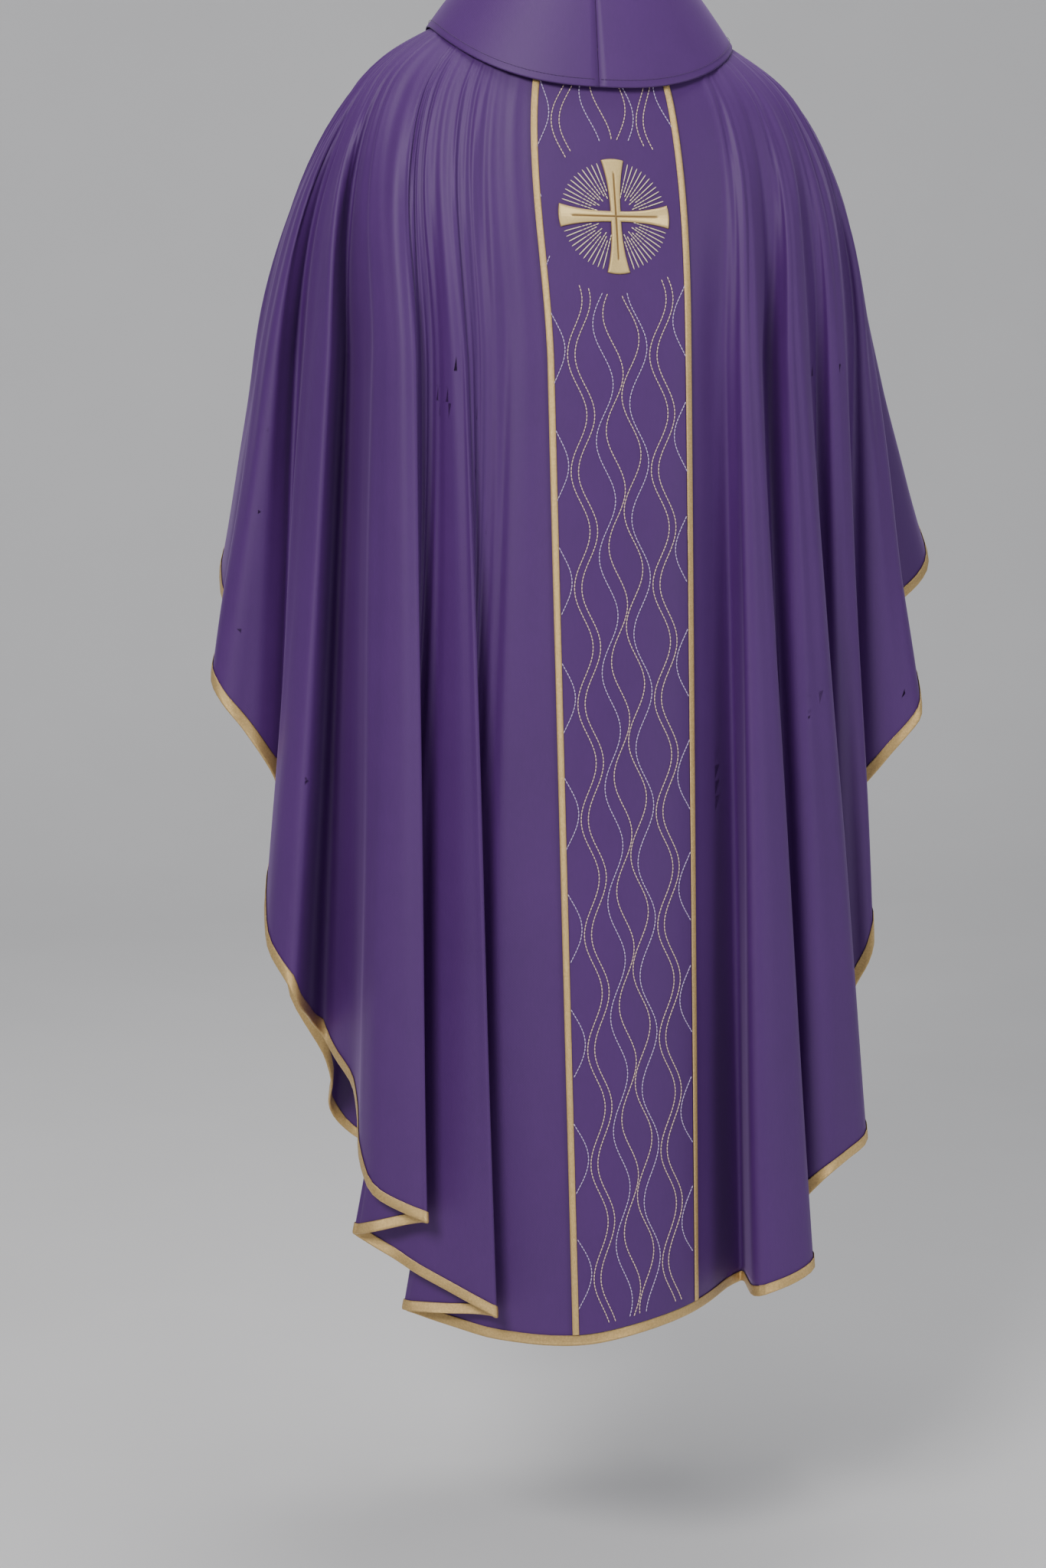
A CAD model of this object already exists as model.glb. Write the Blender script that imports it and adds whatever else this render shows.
"""A purple chasuble as it is worn, seen from the back: cloth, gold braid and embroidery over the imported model.

The cloth is one ring of fold lines that run from the neck to the hem. Every piece is laid on that surface, so a
change of a fold moves the panels, the braid, the band and its embroidery together.
"""

import logging
import math
from dataclasses import dataclass
from enum import Enum
from typing import NamedTuple, Sequence, Union

import bmesh
import bpy
import numpy as np
from mathutils import Euler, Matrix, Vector

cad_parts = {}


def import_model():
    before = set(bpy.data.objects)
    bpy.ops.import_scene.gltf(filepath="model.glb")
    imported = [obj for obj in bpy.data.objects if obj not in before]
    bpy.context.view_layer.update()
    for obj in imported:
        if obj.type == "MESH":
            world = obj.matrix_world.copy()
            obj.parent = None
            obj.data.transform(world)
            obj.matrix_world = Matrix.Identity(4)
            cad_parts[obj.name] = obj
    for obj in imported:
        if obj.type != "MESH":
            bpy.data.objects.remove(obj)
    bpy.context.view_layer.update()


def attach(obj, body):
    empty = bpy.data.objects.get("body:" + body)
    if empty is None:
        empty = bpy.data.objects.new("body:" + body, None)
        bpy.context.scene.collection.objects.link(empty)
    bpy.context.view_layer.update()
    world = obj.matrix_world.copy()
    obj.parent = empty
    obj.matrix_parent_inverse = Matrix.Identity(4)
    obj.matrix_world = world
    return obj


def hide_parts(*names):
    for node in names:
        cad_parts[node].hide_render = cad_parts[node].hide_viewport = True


log = logging.getLogger("chasuble")

MM = 0.001
BODY = "root"
NEAR = 1e-3
Colour = tuple[float, float, float]
Grid = np.ndarray


# Geometry of the cloth


def unit(vectors: np.ndarray) -> np.ndarray:
    """The vectors at length 1."""
    return vectors / np.linalg.norm(vectors, axis=-1, keepdims=True)


def mix(first: np.ndarray, second: np.ndarray, share: Union[float, np.ndarray]) -> np.ndarray:
    """A point between two.

    Args:
        first: the value at a share of 0.
        second: the value at a share of 1.
        share: how far to go from the first to the second.

    Returns:
        The value in between.
    """
    return first + (second - first) * share


def smooth_step(value: np.ndarray, low: float, high: float) -> np.ndarray:
    """0 below low, 1 above high and an even curve in between."""
    share = np.clip((value - low) / (high - low), 0.0, 1.0)
    return share * share * (3.0 - 2.0 * share)


def hermite(
    start: np.ndarray, end: np.ndarray, start_pull: np.ndarray, end_pull: np.ndarray, part: np.ndarray
) -> np.ndarray:
    """A cubic between two points.

    Args:
        start: where it starts.
        end: where it ends.
        start_pull: how it leaves.
        end_pull: how it arrives.
        part: how far along it, from 0 to 1.

    Returns:
        The points on it.
    """
    squared, cubed = part * part, part * part * part
    ends = mix(start, end, 3 * squared - 2 * cubed)
    return ends + (cubed - 2 * squared + part) * start_pull + (cubed - squared) * end_pull


@dataclass(frozen=True)
class Ring:
    """A closed curve round the wearer, squarer than an ellipse.

    The right side lies lower than the left by the tilt of the shoulders.
    """

    half_width: float
    back_depth: float
    front_depth: float
    side_z: float
    back_z: float
    front_z: float
    squareness: float
    tilt: float = math.radians(3.0)

    def point(self, degrees: np.ndarray) -> np.ndarray:
        """The points at these angles.

        Args:
            degrees: 0 is the centre back, 90 the right side, 180 the centre front.

        Returns:
            One row of x, y and z for each angle, in metres.
        """
        angle = np.radians(degrees)
        across, along = np.sin(angle), np.cos(angle)
        power = 2.0 / self.squareness
        depth = np.where(along > 0, self.back_depth, self.front_depth)
        middle_z = np.where(along > 0, self.back_z, self.front_z)
        x = self.half_width * np.sign(across) * np.abs(across) ** power
        y = -depth * np.sign(along) * np.abs(along) ** power
        z = self.side_z + (middle_z - self.side_z) * np.abs(along) ** 1.5
        return np.stack([x, y, z - x * math.tan(self.tilt)], axis=-1)


class Fold(NamedTuple):
    """One line of the cloth from the neck to the hem."""

    name: str
    round: float  # degrees round the shoulders, 0 at the centre back
    chest_x: float
    chest_y: float
    hem_x: float
    hem_y: float
    hem_z: float
    ease: float = 1.0  # 1 falls straight, 0 keeps its sideways run for the lower half
    chest_z: float = -0.36


BACK_FOLDS = [
    Fold("left seam", -90, -0.285, 0.150, -0.240, 0.335, -0.350, chest_z=-0.335),
    Fold("left forearm", -88, -0.306, 0.135, -0.300, 0.270, -0.500, chest_z=-0.355),
    Fold("left wing ridge", -86, -0.312, 0.100, -0.350, 0.160, -0.592),
    Fold("left wing valley", -84, -0.305, 0.050, -0.335, 0.090, -0.630),
    Fold("left elbow ridge", -82, -0.316, 0.000, -0.369, 0.000, -0.674),
    Fold("left elbow back", -79, -0.300, -0.026, -0.330, -0.018, -0.728),
    Fold("left elbow valley", -76, -0.278, 0.000, -0.297, -0.001, -0.797),
    Fold("left side ridge", -73, -0.271, -0.050, -0.322, -0.050, -0.911),
    Fold("left side back", -70, -0.251, -0.085, -0.292, -0.100, -0.978),
    Fold("left side valley", -66, -0.235, -0.040, -0.262, -0.020, -1.031),
    Fold("left blade flank", -62, -0.219, -0.100, -0.233, -0.090, -1.081),
    Fold("left blade ridge", -57, -0.206, -0.135, -0.231, -0.150, -1.156),
    Fold("outer pleat edge", -47, -0.179, -0.150, -0.176, -0.193, -1.180),
    Fold("outer pleat turn", -45.5, -0.175, -0.138, -0.180, -0.178, -1.183),
    Fold("outer pleat return", -44, -0.169, -0.130, -0.236, -0.136, -1.206, ease=0.0),
    Fold("outer pleat inside", -42, -0.160, -0.129, -0.240, -0.121, -1.210, ease=0.0),
    Fold("inner pleat face", -39.5, -0.151, -0.141, -0.190, -0.146, -1.239, ease=0.0),
    Fold("inner pleat edge", -34, -0.132, -0.157, -0.109, -0.202, -1.276),
    Fold("inner pleat turn", -31.5, -0.126, -0.149, -0.113, -0.187, -1.278),
    Fold("inner pleat return", -28.5, -0.117, -0.145, -0.187, -0.132, -1.288, ease=0.0),
    Fold("inner pleat inside", -25, -0.106, -0.146, -0.190, -0.117, -1.291, ease=0.0),
    Fold("left back", -20, -0.086, -0.152, -0.113, -0.168, -1.307),
    Fold("band left", -13.5, -0.052, -0.158, -0.028, -0.200, -1.309),
    Fold("centre back", 1, 0.015, -0.162, 0.031, -0.200, -1.299),
    Fold("band right", 15.5, 0.083, -0.155, 0.094, -0.165, -1.291),
    Fold("right back valley", 28, 0.124, -0.128, 0.162, -0.070, -1.289),
    Fold("first ridge back", 31, 0.136, -0.146, 0.157, -0.170, -1.278),
    Fold("first ridge edge", 35, 0.152, -0.143, 0.223, -0.140, -1.259),
    Fold("first valley", 42, 0.172, -0.095, 0.204, -0.088, -1.232),
    Fold("second ridge back", 46, 0.187, -0.120, 0.237, -0.105, -1.177),
    Fold("second ridge edge", 50, 0.206, -0.113, 0.297, -0.060, -1.145),
    Fold("second valley", 57, 0.224, -0.068, 0.252, -0.004, -1.090),
    Fold("third ridge back", 62, 0.238, -0.080, 0.283, -0.016, -1.010),
    Fold("third ridge edge", 67, 0.256, -0.066, 0.307, -0.020, -0.950),
    Fold("third valley", 72, 0.272, -0.016, 0.280, 0.030, -0.840),
    Fold("right elbow back", 76, 0.288, -0.020, 0.325, 0.008, -0.766),
    Fold("right elbow ridge", 79, 0.302, 0.010, 0.364, 0.020, -0.719),
    Fold("right wing valley", 83, 0.306, 0.060, 0.346, 0.100, -0.635),
    Fold("right wing ridge", 86, 0.324, 0.100, 0.402, 0.150, -0.586),
    Fold("right forearm", 88, 0.318, 0.135, 0.365, 0.270, -0.490, chest_z=-0.355),
    Fold("right seam", 90, 0.290, 0.150, 0.262, 0.335, -0.350, chest_z=-0.335),
]

# The left half of the front, from the shoulder seam to the centre: the right half mirrors it
HALF_FRONT_FOLDS = [
    Fold("forearm inside", -93, -0.246, 0.166, -0.192, 0.325, -0.462, chest_z=-0.345),
    Fold("wing inner ridge", -98, -0.226, 0.182, -0.236, 0.285, -0.660),
    Fold("wing inner valley", -104, -0.208, 0.190, -0.204, 0.232, -0.800),
    Fold("front side ridge", -110, -0.194, 0.164, -0.286, 0.185, -1.012),
    Fold("front side valley", -118, -0.166, 0.172, -0.240, 0.150, -1.105),
    Fold("front outer ridge", -127, -0.134, 0.190, -0.226, 0.240, -1.195),
    Fold("front outer valley", -138, -0.102, 0.164, -0.150, 0.190, -1.228),
    Fold("front inner ridge", -150, -0.070, 0.186, -0.108, 0.270, -1.248),
    Fold("front inner valley", -164, -0.036, 0.170, -0.052, 0.220, -1.256),
]
CENTRE_FRONT = Fold("centre front", -180, 0.000, 0.182, 0.000, 0.262, -1.262)


def mirrored(fold: Fold) -> Fold:
    """The same fold line on the other side of the garment."""
    turned = fold._replace(round=-fold.round, chest_x=-fold.chest_x, hem_x=-fold.hem_x)
    return turned._replace(name="right " + fold.name)


def ring_of_folds() -> list[Fold]:
    """Every fold line in order: the back from left to right, then the front from right to left."""
    right_front = [mirrored(fold) for fold in HALF_FRONT_FOLDS]
    return BACK_FOLDS + right_front + [CENTRE_FRONT] + HALF_FRONT_FOLDS[::-1]


@dataclass(frozen=True)
class Ripple:
    """A shallow wave of the cloth between its large folds."""

    per_fold: float
    per_drop: float
    phase: float
    height: float


@dataclass(frozen=True)
class ClothForm:
    """The named values that turn fold lines into a surface."""

    neck: Ring = Ring(0.090, 0.080, 0.092, -0.014, -0.004, -0.038, 2.2)
    shoulders: Ring = Ring(0.215, 0.125, 0.112, -0.101, -0.118, -0.150, 2.4)
    rounding_reach: tuple[float, ...] = (-0.34, -0.17, 0.0, 0.17, 0.34)
    rounding_weights: tuple[float, ...] = (0.12, 0.22, 0.32, 0.22, 0.12)
    neck_spread: float = 2.4
    neck_even_share: float = 0.3
    least_hem_sine: float = 0.38
    ripples: tuple[Ripple, ...] = (
        Ripple(4.1, 1.3, 0.4, 0.9 * MM),
        Ripple(7.3, -0.9, 2.1, 0.5 * MM),
        Ripple(2.2, 5.5, 4.0, 0.7 * MM),
        Ripple(1.1, 9.0, 1.2, 0.5 * MM),
    )


class Cloth:
    """The whole cloth as a surface: places count the fold lines round it, drops run from the neck to the hem.

    A drop of 0 is the neck ring, 1 the shoulder ring, 2 the chest level and 3 the hem.
    """

    def __init__(self, folds: Sequence[Fold], form: ClothForm = ClothForm()) -> None:
        """Works out where each fold line starts, bends and ends.

        Args:
            folds: the fold lines in order round the garment.
            form: the named values of the surface.
        """
        self.form = form
        self.count = len(folds)
        self.index = {fold.name: place for place, fold in enumerate(folds)}
        degrees = np.array([fold.round for fold in folds], float)
        to_seam = np.abs(degrees) / 90.0 - 1.0
        spread = mix(np.abs(to_seam) ** form.neck_spread, np.abs(to_seam), form.neck_even_share)
        neck_degrees = np.sign(degrees) * 90.0 * (1.0 + np.sign(to_seam) * spread)
        self.neck = form.neck.point(neck_degrees)
        self.yoke = form.shoulders.point(degrees)
        self.chest = np.array([(fold.chest_x, fold.chest_y, fold.chest_z) for fold in folds])
        self.hem = np.array([(fold.hem_x, fold.hem_y, fold.hem_z) for fold in folds])
        self.ease = np.array([fold.ease for fold in folds])[:, None]
        upper, lower = self.yoke - self.neck, self.chest - self.yoke
        fall = self.hem - self.chest
        fall[:, :2] *= self.ease
        at_yoke, at_chest = unit(unit(upper) + unit(lower)), unit(fall)
        upper_length, lower_length = (np.linalg.norm(run, axis=1, keepdims=True) for run in (upper, lower))
        self.upper_pulls = (upper, at_yoke * upper_length)
        self.lower_pulls = (at_yoke * lower_length, at_chest * lower_length * -at_chest[:, 2:])

    def on_lines(self, lines: np.ndarray, drop: np.ndarray) -> np.ndarray:
        """Points on the fold lines.

        Args:
            lines: the fold lines' numbers.
            drop: the drop for each.

        Returns:
            One row of x, y and z for each line.
        """
        lines = lines % self.count
        drop = drop[:, None]
        neck, yoke, chest, hem = (ring[lines] for ring in (self.neck, self.yoke, self.chest, self.hem))
        first = hermite(neck, yoke, *(pull[lines] for pull in self.upper_pulls), drop)
        second = hermite(yoke, chest, *(pull[lines] for pull in self.lower_pulls), drop - 1.0)
        part = drop - 2.0
        ease = self.ease[lines]
        sideways = ease * part + (1.0 - ease) * part * part
        shares = np.concatenate([sideways, sideways, part], axis=1)
        third = chest + (hem - chest) * shares
        return np.where(drop < 1.0, first, np.where(drop < 2.0, second, third))

    def points(self, places: np.ndarray, drops: np.ndarray) -> np.ndarray:
        """Points of the cloth, with its fold lines rounded by a weighted mean of places close by.

        Args:
            places: the places round the cloth.
            drops: the drops down it.

        Returns:
            One row of x, y and z for each point.
        """
        places, drops = np.asarray(places, float), np.asarray(drops, float)
        taps = zip(self.form.rounding_reach, self.form.rounding_weights)
        return sum(weight * self.through_folds(places + reach, drops) for reach, weight in taps)

    def through_folds(self, places: np.ndarray, drops: np.ndarray) -> np.ndarray:
        """Points on a centripetal curve through the four fold lines round each place.

        Args:
            places: the places round the cloth.
            drops: the drops down it.

        Returns:
            One row of x, y and z for each point.
        """
        line = np.floor(places).astype(int)
        a, b, c, d = (self.on_lines(line + step, drops) for step in (-1, 0, 1, 2))
        knots = [np.zeros((len(line), 1))]
        for start, end in ((a, b), (b, c), (c, d)):
            knots.append(knots[-1] + np.sqrt(np.linalg.norm(end - start, axis=1, keepdims=True)))
        at = knots[1] + (places - line)[:, None] * (knots[2] - knots[1])
        ab = mix(a, b, (at - knots[0]) / (knots[1] - knots[0]))
        bc = mix(b, c, (at - knots[1]) / (knots[2] - knots[1]))
        cd = mix(c, d, (at - knots[2]) / (knots[3] - knots[2]))
        abc = mix(ab, bc, (at - knots[0]) / (knots[2] - knots[0]))
        bcd = mix(bc, cd, (at - knots[1]) / (knots[3] - knots[1]))
        return mix(abc, bcd, (at - knots[1]) / (knots[2] - knots[1]))

    def relief(self, places: np.ndarray, drops: np.ndarray) -> np.ndarray:
        """How far the shallow ripples lift the cloth. The band and the neck stay smooth.

        Args:
            places: the places round the cloth.
            drops: the drops down it.

        Returns:
            The lift of each point in metres.
        """
        middle = float(self.index["centre back"])
        free = smooth_step(np.abs(places - middle), 0.9, 2.2) * smooth_step(drops, 0.3, 1.3)
        waves = 0.0
        for ripple in self.form.ripples:
            round_turn = 2 * math.pi * ripple.per_fold * places / 4
            waves = waves + ripple.height * np.sin(round_turn + ripple.per_drop * drops + ripple.phase)
        return waves * free

    def moved_out(self, places: np.ndarray, drops: np.ndarray, distance: Union[float, np.ndarray]) -> np.ndarray:
        """Points this far outside the middle of the cloth's wall.

        Args:
            places: the places round the cloth.
            drops: the drops down it.
            distance: metres outwards, one number or one for each point.

        Returns:
            One row of x, y and z for each point.
        """
        places, drops = np.asarray(places, float), np.asarray(drops, float)
        round_way = self.points(places + NEAR, drops) - self.points(places - NEAR, drops)
        down_way = self.points(places, drops + NEAR) - self.points(places, np.maximum(drops - NEAR, 0.0))
        outward = unit(np.cross(unit(down_way), unit(round_way)))
        lift = self.relief(places, drops) + distance
        return self.points(places, drops) + outward * np.reshape(lift, (-1, 1))

    def shifted(self, places: np.ndarray, drops: np.ndarray, distance: np.ndarray) -> np.ndarray:
        """Places to the right of these.

        Args:
            places: the places round the cloth.
            drops: the drops down it.
            distance: how far, in metres round the cloth.

        Returns:
            The new places.
        """
        step = 0.01
        run = np.linalg.norm(self.points(places + step, drops) - self.points(places - step, drops), axis=1)
        return places + 2 * step * distance / run

    def above_hem(self, places: np.ndarray, width: float) -> np.ndarray:
        """The drops a little above the hem.

        Args:
            places: the places round the cloth.
            width: how far above, in metres square to the hem.

        Returns:
            The drop at each place.
        """
        places = np.asarray(places, float)
        hem = np.full(len(places), 3.0)
        round_way = unit(self.points(places + 0.1, hem) - self.points(places - 0.1, hem))
        down_way = self.points(places, hem) - self.points(places, hem - 1.0)
        fall = np.linalg.norm(down_way, axis=1)
        sine = np.linalg.norm(np.cross(round_way, unit(down_way)), axis=1)
        return 3.0 - width / (np.maximum(sine, self.form.least_hem_sine) * fall)


# Shader building


class Value:
    """A shader socket or a number that takes part in arithmetic."""

    def __init__(self, tree: bpy.types.NodeTree, source: Union[float, bpy.types.NodeSocket]) -> None:
        """Keeps the socket or number and the tree that it counts in."""
        self.tree = tree
        self.source = source

    def feed(self, socket: bpy.types.NodeSocket) -> None:
        """Links this value to an input socket, or sets it there."""
        if isinstance(self.source, (int, float)):
            socket.default_value = self.source
        else:
            self.tree.links.new(self.source, socket)

    def math(self, operation: str, *others: Union[float, "Value"]) -> "Value":
        """A maths node.

        Args:
            operation: what it works out.
            *others: its inputs after this value.

        Returns:
            Its result.
        """
        node = self.tree.nodes.new("ShaderNodeMath")
        node.operation = operation
        for socket, item in zip(node.inputs, (self, *others)):
            (item if isinstance(item, Value) else Value(self.tree, float(item))).feed(socket)
        return Value(self.tree, node.outputs[0])

    def __add__(self, other: Union[float, "Value"]) -> "Value":
        """This value plus another."""
        return self.math("ADD", other)

    def __sub__(self, other: Union[float, "Value"]) -> "Value":
        """This value less another."""
        return self.math("SUBTRACT", other)

    def __rsub__(self, other: float) -> "Value":
        """A number less this value."""
        return (self * -1.0) + other

    def __mul__(self, other: Union[float, "Value"]) -> "Value":
        """This value times another."""
        return self.math("MULTIPLY", other)

    __radd__, __rmul__ = __add__, __mul__

    def sine(self) -> "Value":
        """The sine of this value in radians."""
        return self.math("SINE")

    def clamped(self, low: float, high: float) -> "Value":
        """This value held between two numbers."""
        return self.math("MAXIMUM", low).math("MINIMUM", high)


class Finish:
    """One material under construction."""

    def __init__(self, name: str, roughness: float, metallic: float = 0.0) -> None:
        """Starts a material.

        Args:
            name: its name.
            roughness: 0 for a mirror, 1 for chalk.
            metallic: 1 for bare metal.
        """
        self.material = bpy.data.materials.new(name)
        self.material.use_nodes = True
        self.tree = self.material.node_tree
        self.shader = self.tree.nodes["Principled BSDF"]
        self.shader.inputs["Roughness"].default_value = roughness
        self.shader.inputs["Metallic"].default_value = metallic

    def node(self, kind: str, inputs: Union[dict, None] = None, **settings: object) -> bpy.types.Node:
        """A node with these inputs and settings.

        Args:
            kind: the node's type, without the ShaderNode in front.
            inputs: what each named input takes, a value, a socket or a plain setting.
            **settings: attributes of the node.

        Returns:
            The node.
        """
        made = self.tree.nodes.new("ShaderNode" + kind)
        for key, setting in settings.items():
            setattr(made, key, setting)
        for key, item in (inputs or {}).items():
            socket = made.inputs[key]
            if isinstance(item, Value):
                item.feed(socket)
            elif isinstance(item, bpy.types.NodeSocket):
                self.tree.links.new(item, socket)
            else:
                socket.default_value = item
        return made

    def value(self, source: Union[float, bpy.types.NodeSocket]) -> Value:
        """The socket or number, ready for arithmetic."""
        return Value(self.tree, source)

    def place(self, scale: Sequence[float] = (1.0, 1.0, 1.0)) -> bpy.types.NodeSocket:
        """The point in the garment's own frame, in metres times the scale."""
        source = self.node("TexCoord").outputs["Object"]
        return self.node("Mapping", {"Vector": source, "Scale": scale}).outputs["Vector"]

    def run(self) -> tuple[Value, Value]:
        """Metres along and across a piece, from its UV map."""
        split = self.node("SeparateXYZ", {"Vector": self.node("UVMap", uv_map="run").outputs["UV"]})
        return self.value(split.outputs["X"]), self.value(split.outputs["Y"])

    def noise(self, scale: float, detail: float = 2.0, stretch: Sequence[float] = (1.0, 1.0, 1.0)) -> Value:
        """A noise with this many patches in a metre, from 0 to 1."""
        settings = {"Vector": self.place(stretch), "Scale": scale, "Detail": detail}
        return self.value(self.node("TexNoise", settings).outputs["Fac"])

    def blend(
        self, share: Value, low: Union[Colour, bpy.types.NodeSocket], high: Colour
    ) -> bpy.types.NodeSocket:
        """A colour between two.

        Args:
            share: 0 for the low colour, 1 for the high one.
            low: a plain colour or the socket of one.
            high: a plain colour.

        Returns:
            The socket of the colour.
        """
        made = self.tree.nodes.new("ShaderNodeMix")
        made.data_type = "RGBA"
        factor, first, second = made.inputs[0], made.inputs[6], made.inputs[7]
        share.feed(factor)
        if isinstance(low, bpy.types.NodeSocket):
            self.tree.links.new(low, first)
        else:
            first.default_value = (*low, 1.0)
        second.default_value = (*high, 1.0)
        return made.outputs[2]

    def colour(self, socket: bpy.types.NodeSocket) -> None:
        """Paints the surface with this colour."""
        self.tree.links.new(socket, self.shader.inputs["Base Color"])

    def bump(self, height: Value, distance: float, strength: float = 1.0) -> None:
        """Raises the surface by a height that counts in this many metres."""
        made = self.node("Bump", {"Height": height, "Distance": distance, "Strength": strength})
        self.tree.links.new(made.outputs["Normal"], self.shader.inputs["Normal"])

    def sheen(self, weight: float, roughness: float, tint: Colour) -> None:
        """The soft shine of fibres seen along the surface.

        Args:
            weight: how strong it is.
            roughness: how widely it spreads.
            tint: its colour.
        """
        self.shader.inputs["Sheen Weight"].default_value = weight
        self.shader.inputs["Sheen Roughness"].default_value = roughness
        self.shader.inputs["Sheen Tint"].default_value = (*tint, 1.0)


@dataclass(frozen=True)
class ClothLook:
    """Purple twill with a low sheen."""

    name: str = "purple_cloth"
    deep: Colour = (0.046, 0.008, 0.098)
    lit: Colour = (0.078, 0.015, 0.155)
    roughness: float = 0.55
    twill_pitch: float = 1.5 * MM

    def build(self) -> bpy.types.Material:
        """The material."""
        finish = Finish(self.name, self.roughness)
        patches = finish.noise(5.0, 3.0) * 0.7 + finish.noise(38.0, 4.0) * 0.3
        threads = finish.noise(420.0, 2.0, (1.0, 1.0, 0.25))
        finish.colour(finish.blend((patches * 0.75 + threads * 0.25).clamped(0.0, 1.0), self.deep, self.lit))
        (patches * 0.16 + (self.roughness - 0.06)).feed(finish.shader.inputs["Roughness"])
        split = finish.node("SeparateXYZ", {"Vector": finish.place()})
        slant = finish.value(split.outputs["X"]) + finish.value(split.outputs["Z"]) * 1.4
        twill = (slant * (2 * math.pi / self.twill_pitch)).sine()
        finish.bump(twill * 0.35 + threads, 0.12 * MM, 0.6)
        finish.sheen(0.25, 0.4, (0.62, 0.42, 0.85))
        return finish.material


@dataclass(frozen=True)
class BraidLook:
    """Woven braid of metallic gold thread."""

    name: str
    pale: Colour = (0.86, 0.62, 0.27)
    dark: Colour = (0.36, 0.20, 0.06)
    thread_pitch: float = 1.3 * MM
    slant: float = 0.6

    def build(self) -> bpy.types.Material:
        """The material."""
        finish = Finish(self.name, 0.36, 0.62)
        along, across = finish.run()
        turn = 2 * math.pi / self.thread_pitch
        weave = ((along + across * self.slant) * turn).sine() * 0.5 + 0.5
        cross_weave = ((along - across * self.slant) * turn).sine() * 0.5 + 0.5
        glitter = finish.noise(520.0, 3.0)
        share = weave * 0.38 + cross_weave * 0.22 + glitter * 0.75
        finish.colour(finish.blend((share - 0.12).clamped(0.0, 1.0), self.dark, self.pale))
        (0.52 - glitter * 0.3).feed(finish.shader.inputs["Roughness"])
        finish.bump(weave + cross_weave * 0.6 + glitter, 0.22 * MM, 0.8)
        return finish.material


@dataclass(frozen=True)
class EmbroideryLook:
    """Satin stitch in gold thread, darker where the attribute shade rises."""

    name: str = "gold_embroidery"
    pale: Colour = (0.92, 0.72, 0.34)
    mid: Colour = (0.66, 0.44, 0.16)
    shade: Colour = (0.16, 0.075, 0.018)
    thread_pitch: float = 0.75 * MM

    def build(self) -> bpy.types.Material:
        """The material."""
        finish = Finish(self.name, 0.4, 0.5)
        along, _ = finish.run()
        threads = (along * (2 * math.pi / self.thread_pitch)).sine() * 0.5 + 0.5
        fibre = finish.noise(700.0, 2.0)
        base = finish.blend((threads * 0.45 + fibre * 0.6).clamped(0.0, 1.0), self.mid, self.pale)
        shade = finish.value(finish.node("Attribute", attribute_name="shade").outputs["Fac"])
        finish.colour(finish.blend(shade.clamped(0.0, 0.92), base, self.shade))
        (0.34 + fibre * 0.2).feed(finish.shader.inputs["Roughness"])
        finish.bump(threads + fibre * 0.4, 0.16 * MM, 0.8)
        return finish.material


@dataclass(frozen=True)
class ThreadLook:
    """Twisted sewing thread."""

    name: str
    low: Colour
    high: Colour

    def build(self) -> bpy.types.Material:
        """The material."""
        finish = Finish(self.name, 0.5)
        fibre = finish.noise(900.0, 2.0)
        finish.colour(finish.blend(fibre, self.low, self.high))
        (0.42 + fibre * 0.2).feed(finish.shader.inputs["Roughness"])
        finish.bump(fibre, 0.08 * MM, 0.6)
        finish.sheen(0.2, 0.4, (1.0, 0.95, 0.9))
        return finish.material


@dataclass(frozen=True)
class StudioLook:
    """Pale matt paper of the floor and the backdrop."""

    name: str = "studio_paper"
    low: Colour = (0.74, 0.74, 0.75)
    high: Colour = (0.80, 0.80, 0.81)

    def build(self) -> bpy.types.Material:
        """The material."""
        finish = Finish(self.name, 0.9)
        finish.colour(finish.blend(finish.noise(3.0, 3.0), self.low, self.high))
        return finish.material


class Thread(Enum):
    """The sewing threads of the band."""

    LILAC = ThreadLook("thread_lilac", (0.40, 0.30, 0.56), (0.66, 0.55, 0.80))
    BEIGE = ThreadLook("thread_beige", (0.58, 0.41, 0.34), (0.86, 0.68, 0.56))
    PALE = ThreadLook("thread_pale_gold", (0.66, 0.52, 0.36), (0.98, 0.88, 0.68))
    PURPLE = ThreadLook("thread_purple", (0.030, 0.005, 0.062), (0.058, 0.012, 0.115))


# Piece building


def add_piece(name: str, data: bpy.types.ID, material: bpy.types.Material) -> bpy.types.Object:
    """An object of the garment that rides on its one body.

    Args:
        name: the object's name.
        data: its mesh or curve.
        material: its finish.

    Returns:
        The object.
    """
    data.materials.append(material)
    made = bpy.data.objects.new(name, data)
    bpy.context.scene.collection.objects.link(made)
    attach(made, BODY)
    return made


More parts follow.
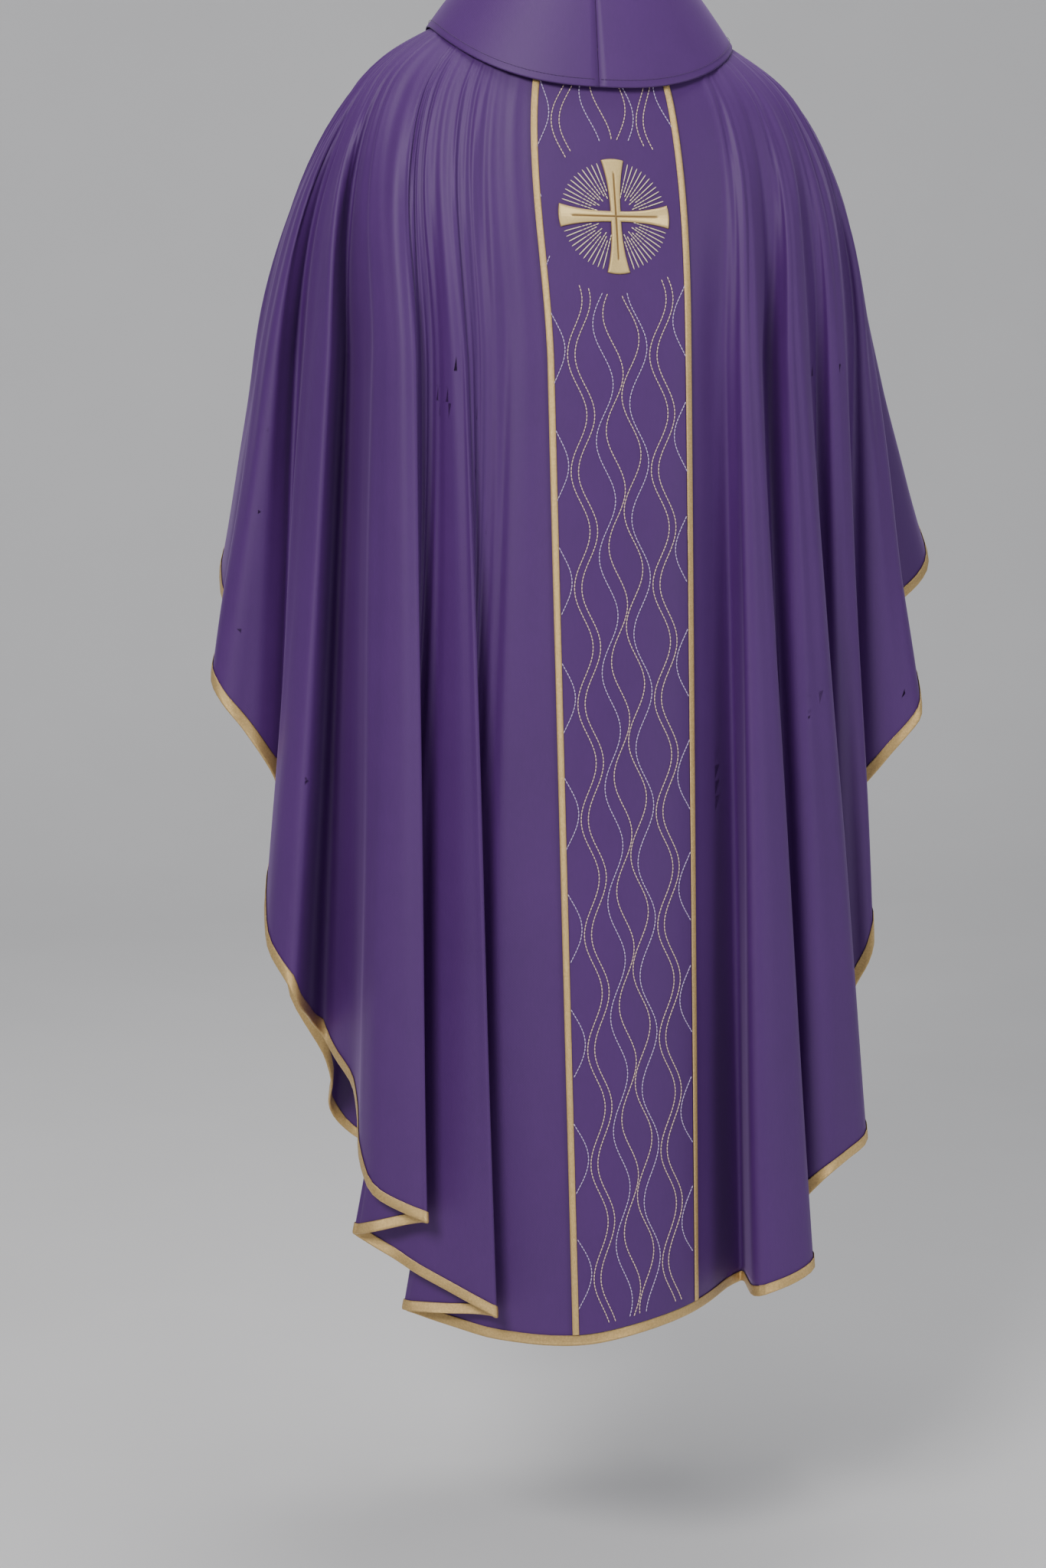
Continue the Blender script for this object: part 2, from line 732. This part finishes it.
def sheet_mesh(name: str, grid: Grid, wall: float, shade: Union[np.ndarray, None] = None) -> bpy.types.Mesh:
    """A thin wall over a grid of points.

    Args:
        name: the mesh's name.
        grid: columns by levels by x, y and z. Columns run from left to right as seen from outside, levels downwards.
        wall: its thickness, or 0 for a single skin.
        shade: a darkening for each point, kept as an attribute.

    Returns:
        The mesh, with a UV map in metres along the columns and down the levels.
    """
    columns, levels = grid.shape[:2]
    form = bmesh.new()
    bmesh.ops.create_grid(form, x_segments=columns - 1, y_segments=levels - 1, size=1.0)
    form.verts.ensure_lookup_table()
    along = np.cumsum(np.linalg.norm(np.diff(grid, axis=0, prepend=grid[:1]), axis=2), axis=0)
    down = np.cumsum(np.linalg.norm(np.diff(grid, axis=1, prepend=grid[:, :1]), axis=2), axis=1)
    run = form.loops.layers.uv.new("run")
    dark = form.verts.layers.float.new("shade") if shade is not None else None
    for vertex in form.verts:
        level, column = divmod(vertex.index, columns)
        level = levels - 1 - level
        vertex.co = grid[column, level]
        if dark is not None:
            vertex[dark] = float(shade[column, level])
        for loop in vertex.link_loops:
            loop[run].uv = (along[column, level], down[column, level])
    if wall:
        bmesh.ops.solidify(form, geom=form.faces[:], thickness=wall)
    mesh = bpy.data.meshes.new(name)
    form.to_mesh(mesh)
    form.free()
    mesh.shade_smooth()
    return mesh


def even(first: float, last: float, cells: int) -> np.ndarray:
    """Evenly spaced numbers, both ends included."""
    return np.linspace(first, last, cells + 1)


def laid(cloth: Cloth, places: np.ndarray, drops: np.ndarray, distance: Union[float, np.ndarray]) -> Grid:
    """A grid of points on the cloth.

    Args:
        cloth: the surface.
        places: columns by levels of places.
        drops: columns by levels of drops.
        distance: metres outside the middle of the wall, one number or one for each point.

    Returns:
        Columns by levels by x, y and z.
    """
    lift = np.broadcast_to(distance, places.shape)
    return cloth.moved_out(places.ravel(), drops.ravel(), lift.ravel()).reshape(*places.shape, 3)


class Side(Enum):
    """The two panels of the garment."""

    BACK = "back"
    FRONT = "front"


@dataclass(frozen=True)
class PanelSizes:
    """Sizes of the panels and the braid that binds their hem."""

    wall: float = 1.4 * MM
    columns_per_fold: int = 8
    upper_levels: int = 34
    lower_levels: int = 60
    tuck: float = 2.0 * MM
    braid_width: float = 10.0 * MM
    braid_wall: float = 0.5 * MM
    seam_inset: float = 0.004


class Panels:
    """The two big panels with the braid round their hems."""

    # Height above the hem as a share of the braid's width, and distance from the middle of the cloth
    BRAID_SECTION = (
        (1.0, 0.95 * MM), (0.93, 1.30 * MM), (0.75, 1.40 * MM), (0.45, 1.45 * MM), (0.15, 1.40 * MM),
        (0.02, 1.05 * MM), (-0.04, 0.0), (0.02, -1.05 * MM), (0.15, -1.40 * MM), (0.45, -1.45 * MM),
        (0.75, -1.40 * MM), (0.93, -1.30 * MM), (1.0, -0.95 * MM),
    )

    def __init__(self, cloth: Cloth, sizes: PanelSizes = PanelSizes()) -> None:
        """Finds where each panel starts and ends.

        Args:
            cloth: the surface.
            sizes: the panels' sizes.
        """
        self.cloth = cloth
        self.sizes = sizes
        left, right = cloth.index["left seam"], cloth.index["right seam"]
        self.spans = {Side.BACK: (left, right), Side.FRONT: (right, cloth.count)}

    def places(self, side: Side) -> np.ndarray:
        """The columns of a panel.

        Args:
            side: which panel.

        Returns:
            Their places round the cloth.
        """
        first, last = self.spans[side]
        inset = self.sizes.seam_inset
        return even(first + inset, last - inset, (last - first) * self.sizes.columns_per_fold)

    def build(
        self, side: Side, cloth_finish: bpy.types.Material, braid_finish: bpy.types.Material
    ) -> list[bpy.types.Object]:
        """A panel and its braid.

        Args:
            side: which panel.
            cloth_finish: the cloth's material.
            braid_finish: the braid's material.

        Returns:
            The panel and the braid.
        """
        sizes = self.sizes
        places = self.places(side)
        end = self.cloth.above_hem(places, sizes.tuck)
        upper = even(0.0, 2.0, sizes.upper_levels)
        fall = even(0.0, 1.0, sizes.lower_levels)[1:]
        drops = np.concatenate([np.tile(upper, (len(places), 1)), 2.0 + (end[:, None] - 2.0) * fall], axis=1)
        grid = laid(self.cloth, np.repeat(places[:, None], drops.shape[1], axis=1), drops, 0.0)
        name = f"{side.value}_cloth"
        panel = add_piece(name, sheet_mesh(name, grid, sizes.wall), cloth_finish)
        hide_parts(f"{side.value}_panel")
        return [panel, self.braid(side, places, braid_finish)]

    def braid(self, side: Side, places: np.ndarray, finish: bpy.types.Material) -> bpy.types.Object:
        """The braid folded over a panel's hem, as wide on the inside as on the outside.

        Args:
            side: which panel.
            places: the panel's columns.
            finish: the braid's material.

        Returns:
            The braid.
        """
        heights = [share * self.sizes.braid_width for share, _ in self.BRAID_SECTION]
        offsets = np.array([offset for _, offset in self.BRAID_SECTION])
        drops = np.stack([self.cloth.above_hem(places, height) for height in heights], axis=1)
        grid = laid(self.cloth, np.repeat(places[:, None], len(heights), axis=1), drops, offsets[None, :])
        name = f"{side.value}_hem_binding"
        made = add_piece(name, sheet_mesh(name, grid, self.sizes.braid_wall), finish)
        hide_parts(f"hem_braid_{side.value}")
        return made


@dataclass(frozen=True)
class BandSizes:
    """Sizes of the band down the middle of the back and what lies on it."""

    out: float = 1.55 * MM
    wall: float = 0.9 * MM
    braid_width: float = 6.5 * MM
    braid_out: float = 2.25 * MM
    braid_crown: float = 0.75 * MM
    top_drop: float = 0.33
    end_above_hem: float = 11.0 * MM
    levels: int = 170
    table: tuple[float, float, int] = (0.2, 3.02, 900)  # first drop, last drop, how many heights are read off


@dataclass(frozen=True)
class WaveLine:
    """One running-stitch line that winds down the band.

    The middle and the swing are shares of the band's width, and the lag is a share of a period.
    """

    thread: Thread
    middle: float
    lag: float
    swing: float = 0.062


@dataclass(frozen=True)
class WaveSizes:
    """How the wave lines run down the band."""

    top: float = -0.060
    bottom: float = -1.283
    crest: float = -0.123
    rate: float = 9.294
    slowing: float = 0.22
    clear_radius: float = 71.0 * MM
    stitch: float = 2.7 * MM
    gap: float = 0.75 * MM
    thread_radius: float = 0.52 * MM
    path_step: float = 0.5 * MM
    least_share: float = 0.022  # a stitch nearer the band's edge is hidden under the braid
    profile: tuple[float, ...] = (0.0, 0.2, 0.8, 1.0)  # how far along a stitch its points lie
    lift: tuple[float, ...] = (-0.25, 0.22, 0.22, -0.25)  # and their heights, in millimetres


WAVE_LINES = (
    WaveLine(Thread.LILAC, 0.051, 0.0, 0.074),
    WaveLine(Thread.BEIGE, 0.204, -0.43),
    WaveLine(Thread.BEIGE, 0.258, -0.43),
    WaveLine(Thread.LILAC, 0.389, 0.31),
    WaveLine(Thread.BEIGE, 0.459, 0.22),
    WaveLine(Thread.BEIGE, 0.572, -0.08),
    WaveLine(Thread.LILAC, 0.625, -0.01),
    WaveLine(Thread.BEIGE, 0.767, -0.43),
    WaveLine(Thread.BEIGE, 0.818, -0.43),
    WaveLine(Thread.LILAC, 0.949, 0.275, 0.074),
)


@dataclass(frozen=True)
class CrossSizes:
    """Sizes of the padded cross and its rays, from the cross's middle."""

    level: float = -0.217
    aside: float = 2.5 * MM
    reach: float = 52.0 * MM
    waist: float = 5.0 * MM
    flare: float = 6.0 * MM
    power: float = 2.2
    end_bow: float = 1.6 * MM
    out: float = 2.2 * MM
    height: float = 2.3 * MM
    edge: float = 2.6 * MM
    groove_width: float = 0.75 * MM
    groove_depth: float = 1.2 * MM
    groove_end: float = 0.80
    stations: int = 56
    cells_across: int = 28
    rays: int = 11
    ray_reach: float = 51.0 * MM
    ray_from: float = 17.0
    ray_to: float = 73.0
    ray_rim: float = 0.66  # the long stitch at the rim starts at this share of the reach
    ray_inner: tuple[float, ...] = (0.30, 0.42, 0.36)  # and the short ones end at these in turn
    ray_stitch: float = 2.6 * MM
    ray_pitch: float = 3.2 * MM
    ray_gap: float = 0.5 * MM
    ray_radius: float = 0.5 * MM


class Band:
    """The band and its braids, and the places on it."""

    # The braid's columns, as shares of its width from its middle
    BRAID_COLUMNS = (-0.5, -0.46, -0.3, -0.1, 0.1, 0.3, 0.46, 0.5)

    def __init__(self, cloth: Cloth, sizes: BandSizes = BandSizes()) -> None:
        """Finds the band's edges and the height of each drop down its middle.

        Args:
            cloth: the surface.
            sizes: the band's sizes.
        """
        self.cloth = cloth
        self.sizes = sizes
        self.left, self.right = float(cloth.index["band left"]), float(cloth.index["band right"])
        self.middle = float(cloth.index["centre back"])
        self.table_drops = np.linspace(*sizes.table)
        middles = np.full(len(self.table_drops), self.middle)
        self.table_levels = cloth.points(middles, self.table_drops)[:, 2]

    def drop_at(self, levels: np.ndarray) -> np.ndarray:
        """The drops at which the middle of the band is at these heights."""
        return np.interp(-np.asarray(levels), -self.table_levels, self.table_drops)

    def on_share(self, shares: np.ndarray, levels: np.ndarray, lift: Union[float, np.ndarray]) -> np.ndarray:
        """Points over the band.

        Args:
            shares: shares of its width from the left.
            levels: heights of its middle.
            lift: metres above its face.

        Returns:
            One row of x, y and z for each point.
        """
        places = self.left + np.asarray(shares) * (self.right - self.left)
        return self.cloth.moved_out(places, self.drop_at(levels), self.sizes.out + self.sizes.wall / 2 + lift)

    def on_cross(self, across: np.ndarray, down: np.ndarray, distance: np.ndarray, cross: CrossSizes) -> np.ndarray:
        """Points over the band, measured from the middle of the cross.

        Args:
            across: metres to the right.
            down: metres below.
            distance: metres outside the middle of the cloth's wall.
            cross: the cross's sizes.

        Returns:
            One row of x, y and z for each point.
        """
        drops = self.drop_at(cross.level - down)
        places = self.cloth.shifted(np.full(len(across), self.middle), drops, across + cross.aside)
        return self.cloth.moved_out(places, drops, distance)

    def levels_of(self, places: np.ndarray) -> np.ndarray:
        """Drops from under the collar to the hem braid.

        Args:
            places: the columns.

        Returns:
            Columns by levels of drops.
        """
        end = self.cloth.above_hem(places, self.sizes.end_above_hem)
        share = even(0.0, 1.0, self.sizes.levels)
        return self.sizes.top_drop + (end[:, None] - self.sizes.top_drop) * share

    def build_cloth(self, finish: bpy.types.Material) -> bpy.types.Object:
        """The band's own cloth."""
        places = even(self.left, self.right, 40)
        drops = self.levels_of(places)
        grid = laid(self.cloth, np.repeat(places[:, None], drops.shape[1], axis=1), drops, self.sizes.out)
        made = add_piece("band_cloth", sheet_mesh("band_cloth", grid, self.sizes.wall), finish)
        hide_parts("back_band")
        return made

    def build_braid(self, side: str, finish: bpy.types.Material) -> bpy.types.Object:
        """The narrow braid along one edge of the band, crowned across its width.

        Args:
            side: left or right.
            finish: the braid's material.

        Returns:
            The braid.
        """
        sizes = self.sizes
        middle = np.array([self.left if side == "left" else self.right])
        drops = self.levels_of(middle)[0]
        across = np.array(self.BRAID_COLUMNS)
        crown = sizes.braid_crown * np.sqrt(np.maximum(0.0, 1.0 - np.abs(2 * across) ** 3))
        places = np.stack(
            [self.cloth.shifted(np.repeat(middle, len(drops)), drops, share * sizes.braid_width) for share in across]
        )
        grid = laid(self.cloth, places, np.tile(drops, (len(across), 1)), sizes.braid_out + crown[:, None])
        name = f"band_trim_{side}"
        mesh = sheet_mesh(name, grid, 0.5 * MM)
        made = add_piece(name, mesh, finish)
        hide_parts(f"band_braid_{side}")
        return made


def thread_object(name: str, runs: Sequence[np.ndarray], radius: float, thread: Thread) -> bpy.types.Object:
    """Many short stitches as one object.

    Args:
        name: the object's name.
        runs: the points of each stitch.
        radius: the thread's radius.
        thread: its colour.

    Returns:
        The object.
    """
    curve = bpy.data.curves.new(name, "CURVE")
    curve.dimensions = "3D"
    curve.bevel_depth = radius
    curve.bevel_resolution = 1
    curve.use_fill_caps = True
    for points in runs:
        spline = curve.splines.new("POLY")
        spline.points.add(len(points) - 1)
        spline.points.foreach_set("co", np.hstack([points, np.ones((len(points), 1))]).ravel())
        spline.points[0].radius = spline.points[-1].radius = 0.45
    return add_piece(name, curve, thread.value.build())


class WaveStitching:
    """The ten winding lines of running stitch, which leave a round space free about the cross."""

    def __init__(self, band: Band, cross: CrossSizes, sizes: WaveSizes = WaveSizes()) -> None:
        """Keeps the band, the cross that the lines leave free, and the lines' sizes."""
        self.band = band
        self.cross = cross
        self.sizes = sizes

    def share(self, line: WaveLine, levels: np.ndarray) -> np.ndarray:
        """How far across the band a line lies.

        Args:
            line: the line.
            levels: heights of the band's middle.

        Returns:
            Shares of the band's width from the left.
        """
        depth = self.sizes.crest - levels
        turns = self.sizes.rate * depth - self.sizes.slowing * depth * np.abs(depth)
        return line.middle + line.swing * np.cos(2 * math.pi * (turns - line.lag))

    def stitches(self, line: WaveLine) -> list[np.ndarray]:
        """The stitches of one line.

        Args:
            line: the line.

        Returns:
            Four points for each stitch, which rise out of the cloth and dip back.
        """
        sizes = self.sizes
        levels = np.arange(sizes.top, sizes.bottom, -sizes.path_step)
        shares = self.share(line, levels)
        path = self.band.on_share(shares, levels, 0.0)
        centre = self.band.on_cross(np.zeros(1), np.zeros(1), np.array([self.band.sizes.out]), self.cross)[0]
        clear = np.linalg.norm((path - centre)[:, [0, 2]], axis=1) > sizes.clear_radius
        on_band = (shares > sizes.least_share) & (shares < 1.0 - sizes.least_share)
        run = np.concatenate([[0.0], np.cumsum(np.linalg.norm(np.diff(path, axis=0), axis=1))])
        found = []
        for start in np.arange(0.0, run[-1] - sizes.stitch, sizes.stitch + sizes.gap):
            at = start + sizes.stitch * np.array(sizes.profile)
            whole = np.interp(at[[0, -1]], run, (clear & on_band).astype(float)).min() > 0.99
            if whole:
                level, share = np.interp(at, run, levels), np.interp(at, run, shares)
                found.append((share, level, np.array(sizes.lift) * MM))
        points = self.band.on_share(*(np.concatenate(part) for part in zip(*found)))
        return list(points.reshape(-1, len(sizes.profile), 3))

    def build(self) -> list[bpy.types.Object]:
        """One object for each colour of thread."""
        made = []
        for thread in (Thread.LILAC, Thread.BEIGE):
            runs = [run for line in WAVE_LINES if line.thread is thread for run in self.stitches(line)]
            log.info("%s: %d stitches", thread.value.name, len(runs))
            made.append(thread_object(f"waves_{thread.name.lower()}", runs, self.sizes.thread_radius, thread))
        return made


class Cross:
    """The padded cross with a groove along each arm, and the stitched rays between its arms."""

    def __init__(self, band: Band, sizes: CrossSizes = CrossSizes()) -> None:
        """Keeps the band that the cross lies on, and its sizes."""
        self.band = band
        self.sizes = sizes

    def half_width(self, out: np.ndarray) -> np.ndarray:
        """Half the width of an arm.

        Args:
            out: distances from the middle of the cross.

        Returns:
            The half width at each of them.
        """
        sizes = self.sizes
        share = np.clip((out - sizes.waist) / (sizes.reach - sizes.waist), 0.0, 1.0)
        return sizes.waist + sizes.flare * share**sizes.power

    def arm(self, quarter: int) -> tuple[Grid, np.ndarray]:
        """The points of one arm and their darkening.

        Args:
            quarter: how many quarter turns from the arm that points right.

        Returns:
            Columns by levels by x, y and z, and a shade for each point.
        """
        sizes = self.sizes
        out = even(0.0, 1.0, sizes.stations)[:, None] * sizes.reach
        side = even(-1.0, 1.0, sizes.cells_across)[None, :]
        half = self.half_width(out)
        across = side * np.minimum(out, half)
        bowed = out + sizes.end_bow * (out / sizes.reach) ** 6 * (1.0 - side**2)
        to_edge = np.minimum(half - np.abs(across), (sizes.reach - out) * 1.4)
        pad = np.sqrt(1.0 - (1.0 - np.clip(to_edge / sizes.edge, 0.0, 1.0)) ** 2)
        along_groove = smooth_step(sizes.groove_end - out / sizes.reach, 0.0, 0.05)
        groove = np.exp(-((across / sizes.groove_width) ** 2)) * along_groove
        height = sizes.out + sizes.height * pad - sizes.groove_depth * groove
        shade = np.clip(0.95 * groove + 0.85 * (1.0 - smooth_step(pad, 0.15, 0.75)), 0.0, 1.0)
        angle = quarter * math.pi / 2
        right = bowed * math.cos(angle) - across * math.sin(angle)
        down = bowed * math.sin(angle) + across * math.cos(angle)
        points = self.band.on_cross(right.ravel(), down.ravel(), height.ravel(), sizes)
        return points.reshape(*right.shape, 3), np.broadcast_to(shade, right.shape)

    def build(self, finish: bpy.types.Material) -> bpy.types.Object:
        """The cross as one piece.

        Args:
            finish: the embroidery's material.

        Returns:
            The cross.
        """
        form = bmesh.new()
        for quarter in range(4):
            grid, shade = self.arm(quarter)
            part = sheet_mesh(f"arm_{quarter}", grid, 0.0, shade)
            form.from_mesh(part)
            bpy.data.meshes.remove(part)
        bmesh.ops.remove_doubles(form, verts=form.verts[:], dist=0.02 * MM)
        mesh = bpy.data.meshes.new("cross_embroidery")
        form.to_mesh(mesh)
        form.free()
        mesh.shade_smooth()
        made = add_piece("cross_embroidery", mesh, finish)
        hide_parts("cross")
        return made

    def ray_runs(self) -> list[np.ndarray]:
        """The stitches of every ray: one long at the rim, then short ones towards the middle."""
        sizes = self.sizes
        base = self.band.sizes.out + self.band.sizes.wall / 2
        runs = []
        for quarter in range(4):
            for ray in range(sizes.rays):
                degrees = mix(sizes.ray_from, sizes.ray_to, ray / (sizes.rays - 1)) + 90.0 * quarter
                way = np.array([math.cos(math.radians(degrees)), math.sin(math.radians(degrees))])
                inner = sizes.ray_inner[ray % len(sizes.ray_inner)] * sizes.ray_reach
                spans = [(sizes.ray_rim * sizes.ray_reach, sizes.ray_reach)]
                low = sizes.ray_rim * sizes.ray_reach - sizes.ray_gap
                while low - sizes.ray_stitch > inner:
                    spans.append((low - sizes.ray_stitch, low))
                    low -= sizes.ray_pitch
                for start, end in spans:
                    at = mix(start, end, np.array([0.0, 0.12, 0.5, 0.88, 1.0]))
                    lift = base + np.array([-0.2, 0.25, 0.3, 0.25, -0.2]) * MM
                    runs.append(self.band.on_cross(way[0] * at, way[1] * at, lift, sizes))
        return runs

    def build_rays(self) -> bpy.types.Object:
        """The rays as one piece."""
        return thread_object("cross_rays", self.ray_runs(), self.sizes.ray_radius, Thread.PALE)


@dataclass(frozen=True)
class CollarSizes:
    """Sizes of the turned-down collar."""

    fold: Ring = Ring(0.084, 0.078, 0.088, 0.036, 0.044, 0.012, 2.2)
    edge: Ring = Ring(0.148, 0.128, 0.128, -0.044, -0.095, -0.124, 2.5)
    lift: float = 1.7 * MM
    turn: float = 4.0 * MM
    wall: float = 1.6 * MM
    columns: int = 220
    stand_levels: int = 10
    turn_levels: int = 10
    fall_levels: int = 40
    bow: float = 2.2 * MM  # how far the fall bulges outwards between its fold and its edge
    seam_gap: float = 0.35 * MM
    stitch_in: float = 6.0 * MM
    stitch_pitch: float = 3.6 * MM
    stitch_points: tuple[float, ...] = (0.0, 0.5, 2.3, 2.8)  # millimetres from the start of a stitch
    stitch_radius: float = 0.28 * MM


class Collar:
    """The collar that stands up from the neck, turns over and falls to its edge."""

    def __init__(self, neck: Ring, sizes: CollarSizes = CollarSizes()) -> None:
        """Keeps the ring that the collar is sewn to, and its sizes."""
        self.neck = neck
        self.sizes = sizes

    def grid(self) -> Grid:
        """Columns round the neck by levels from the foot over the fold to the edge."""
        sizes = self.sizes
        degrees = even(0.0, 360.0, sizes.columns)
        up = np.array([0.0, 0.0, 1.0])
        foot = self.neck.point(degrees) + sizes.lift * up
        fold, edge = sizes.fold.point(degrees), sizes.edge.point(degrees)
        outward = unit((fold - fold.mean(axis=0)) * np.array([1.0, 1.0, 0.0]))
        pivot = fold - up * sizes.turn
        rows = [mix(foot, pivot - outward * sizes.turn, share) for share in even(0.0, 1.0, sizes.stand_levels)[:-1]]
        for angle in np.radians(even(180.0, 0.0, sizes.turn_levels)):
            rows.append(pivot + sizes.turn * (outward * math.cos(angle) + up * math.sin(angle)))
        start = rows[-1]
        for share in even(0.0, 1.0, sizes.fall_levels)[1:]:
            bow = sizes.bow * math.sin(math.pi * share)
            rows.append(mix(start, edge, share) + outward * bow)
        grid = np.stack(rows, axis=1)
        grid[0, :, 0], grid[-1, :, 0] = sizes.seam_gap / 2, -sizes.seam_gap / 2
        return grid

    def build(self, finish: bpy.types.Material) -> list[bpy.types.Object]:
        """The collar and the line of stitching near its edge."""
        grid = self.grid()
        made = add_piece("collar_cloth", sheet_mesh("collar_cloth", grid, self.sizes.wall), finish)
        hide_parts("collar")
        return [made, self.edge_stitching(grid)]

    def edge_stitching(self, grid: Grid) -> bpy.types.Object:
        """A running stitch a little above the edge, in the colour of the cloth.

        Args:
            grid: the collar's points.

        Returns:
            The stitches.
        """
        length = np.linalg.norm(grid[:, -1] - grid[:, -2], axis=1)
        step = self.sizes.stitch_in / length
        line = mix(grid[:, -1], grid[:, -2], step[:, None])
        along = np.gradient(line, axis=0)
        outward = unit(np.cross(grid[:, -1] - grid[:, -2], along))
        line = line + outward * (self.sizes.wall / 2 + 0.1 * MM)
        run = np.concatenate([[0.0], np.cumsum(np.linalg.norm(np.diff(line, axis=0), axis=1))])
        stitches = []
        for start in np.arange(1.5 * MM, run[-1] - 4 * MM, self.sizes.stitch_pitch):
            at = start + np.array(self.sizes.stitch_points) * MM
            stitches.append(np.stack([np.interp(at, run, line[:, axis]) for axis in range(3)], axis=1))
        return thread_object("collar_stitching", stitches, self.sizes.stitch_radius, Thread.PURPLE)


@dataclass(frozen=True)
class CameraPlace:
    """Where the photograph was taken from."""

    eye: tuple[float, float, float] = (-0.5545, -3.5575, -0.151)
    yaw: float = 8.0
    pitch: float = 10.0
    focal_px: float = 4727.0
    frame_height_px: float = 2048.0
    sensor: float = 36.0

    def build(self) -> bpy.types.Object:
        """The scene's camera."""
        data = bpy.data.cameras.new("camera")
        data.sensor_fit = "VERTICAL"
        data.sensor_height = self.sensor
        data.lens = self.focal_px / self.frame_height_px * self.sensor
        data.clip_end = 100.0
        made = bpy.data.objects.new("camera", data)
        made.location = self.eye
        made.rotation_euler = Euler((math.radians(90.0 - self.pitch), 0.0, math.radians(-self.yaw)))
        bpy.context.scene.collection.objects.link(made)
        bpy.context.scene.camera = made
        return made


@dataclass(frozen=True)
class SoftLight:
    """A large soft lamp that looks at the garment."""

    name: str
    place: tuple[float, float, float]
    size: float
    power: float
    colour: Colour = (1.0, 0.98, 0.96)
    target: tuple[float, float, float] = (0.0, 0.0, -0.6)

    def build(self) -> bpy.types.Object:
        """The lamp."""
        data = bpy.data.lights.new(self.name, "AREA")
        data.shape = "DISK"
        data.size = self.size
        data.energy = self.power
        data.color = self.colour
        made = bpy.data.objects.new(self.name, data)
        made.location = self.place
        way = Vector(self.target) - Vector(self.place)
        made.rotation_euler = way.to_track_quat("-Z", "Y").to_euler()
        bpy.context.scene.collection.objects.link(made)
        return made


LIGHTS = (
    SoftLight("key", (-1.9, -3.2, 1.7), 1.5, 150.0),
    SoftLight("fill", (2.6, -2.6, 0.2), 1.6, 34.0, (0.95, 0.97, 1.0)),
    SoftLight("top", (0.2, 0.3, 2.6), 2.0, 60.0),
)


@dataclass(frozen=True)
class Studio:
    """A pale floor that curves up into a backdrop."""

    floor_z: float = -1.60
    half_width: float = 6.0
    near: float = -6.0
    far: float = 3.2
    bend: float = 1.5
    top: float = 4.5
    world: Colour = (0.80, 0.82, 0.86)
    world_strength: float = 0.32

    def build(self) -> None:
        """The floor, the lamps and the room's light."""
        angles = np.radians(even(0.0, 90.0, 24))
        curve = [(self.far + self.bend * math.sin(a), self.floor_z + self.bend * (1 - math.cos(a))) for a in angles]
        profile = [(self.near, self.floor_z), *curve, (self.far + self.bend, self.top)]
        across = even(-self.half_width, self.half_width, 12)
        grid = np.array([[(x, y, z) for y, z in profile[::-1]] for x in across])
        mesh = sheet_mesh("studio_floor", grid, 0.0)
        mesh.materials.append(StudioLook().build())
        floor = bpy.data.objects.new("studio_floor", mesh)
        bpy.context.scene.collection.objects.link(floor)
        for light in LIGHTS:
            light.build()
        world = bpy.data.worlds.new("studio")
        world.use_nodes = True
        background = world.node_tree.nodes["Background"]
        background.inputs["Color"].default_value = (*self.world, 1.0)
        background.inputs["Strength"].default_value = self.world_strength
        bpy.context.scene.world = world


def main() -> None:
    """Builds the whole scene."""
    logging.basicConfig(level=logging.INFO, format="%(name)s: %(message)s")
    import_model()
    purple = ClothLook().build()
    hem_gold, trim_gold = BraidLook("gold_hem_braid").build(), BraidLook("gold_band_braid").build()
    cloth = Cloth(ring_of_folds())
    panels = Panels(cloth)
    pieces = {}
    pieces["back"], pieces["back_braid"] = panels.build(Side.BACK, purple, hem_gold)
    pieces["front"], pieces["front_braid"] = panels.build(Side.FRONT, purple, hem_gold)
    band = Band(cloth)
    pieces["band"] = band.build_cloth(purple)
    pieces["left_trim"], pieces["right_trim"] = (band.build_braid(side, trim_gold) for side in ("left", "right"))
    cross = Cross(band)
    pieces["cross"] = cross.build(EmbroideryLook().build())
    pieces["rays"] = cross.build_rays()
    pieces["lilac_waves"], pieces["beige_waves"] = WaveStitching(band, cross.sizes).build()
    pieces["collar"], pieces["collar_stitching"] = Collar(cloth.form.neck).build(purple)
    for role, piece in pieces.items():
        log.info("%s is built as %s", role, piece.name)
    Studio().build()
    CameraPlace().build()


if __name__ == "__main__":
    main()
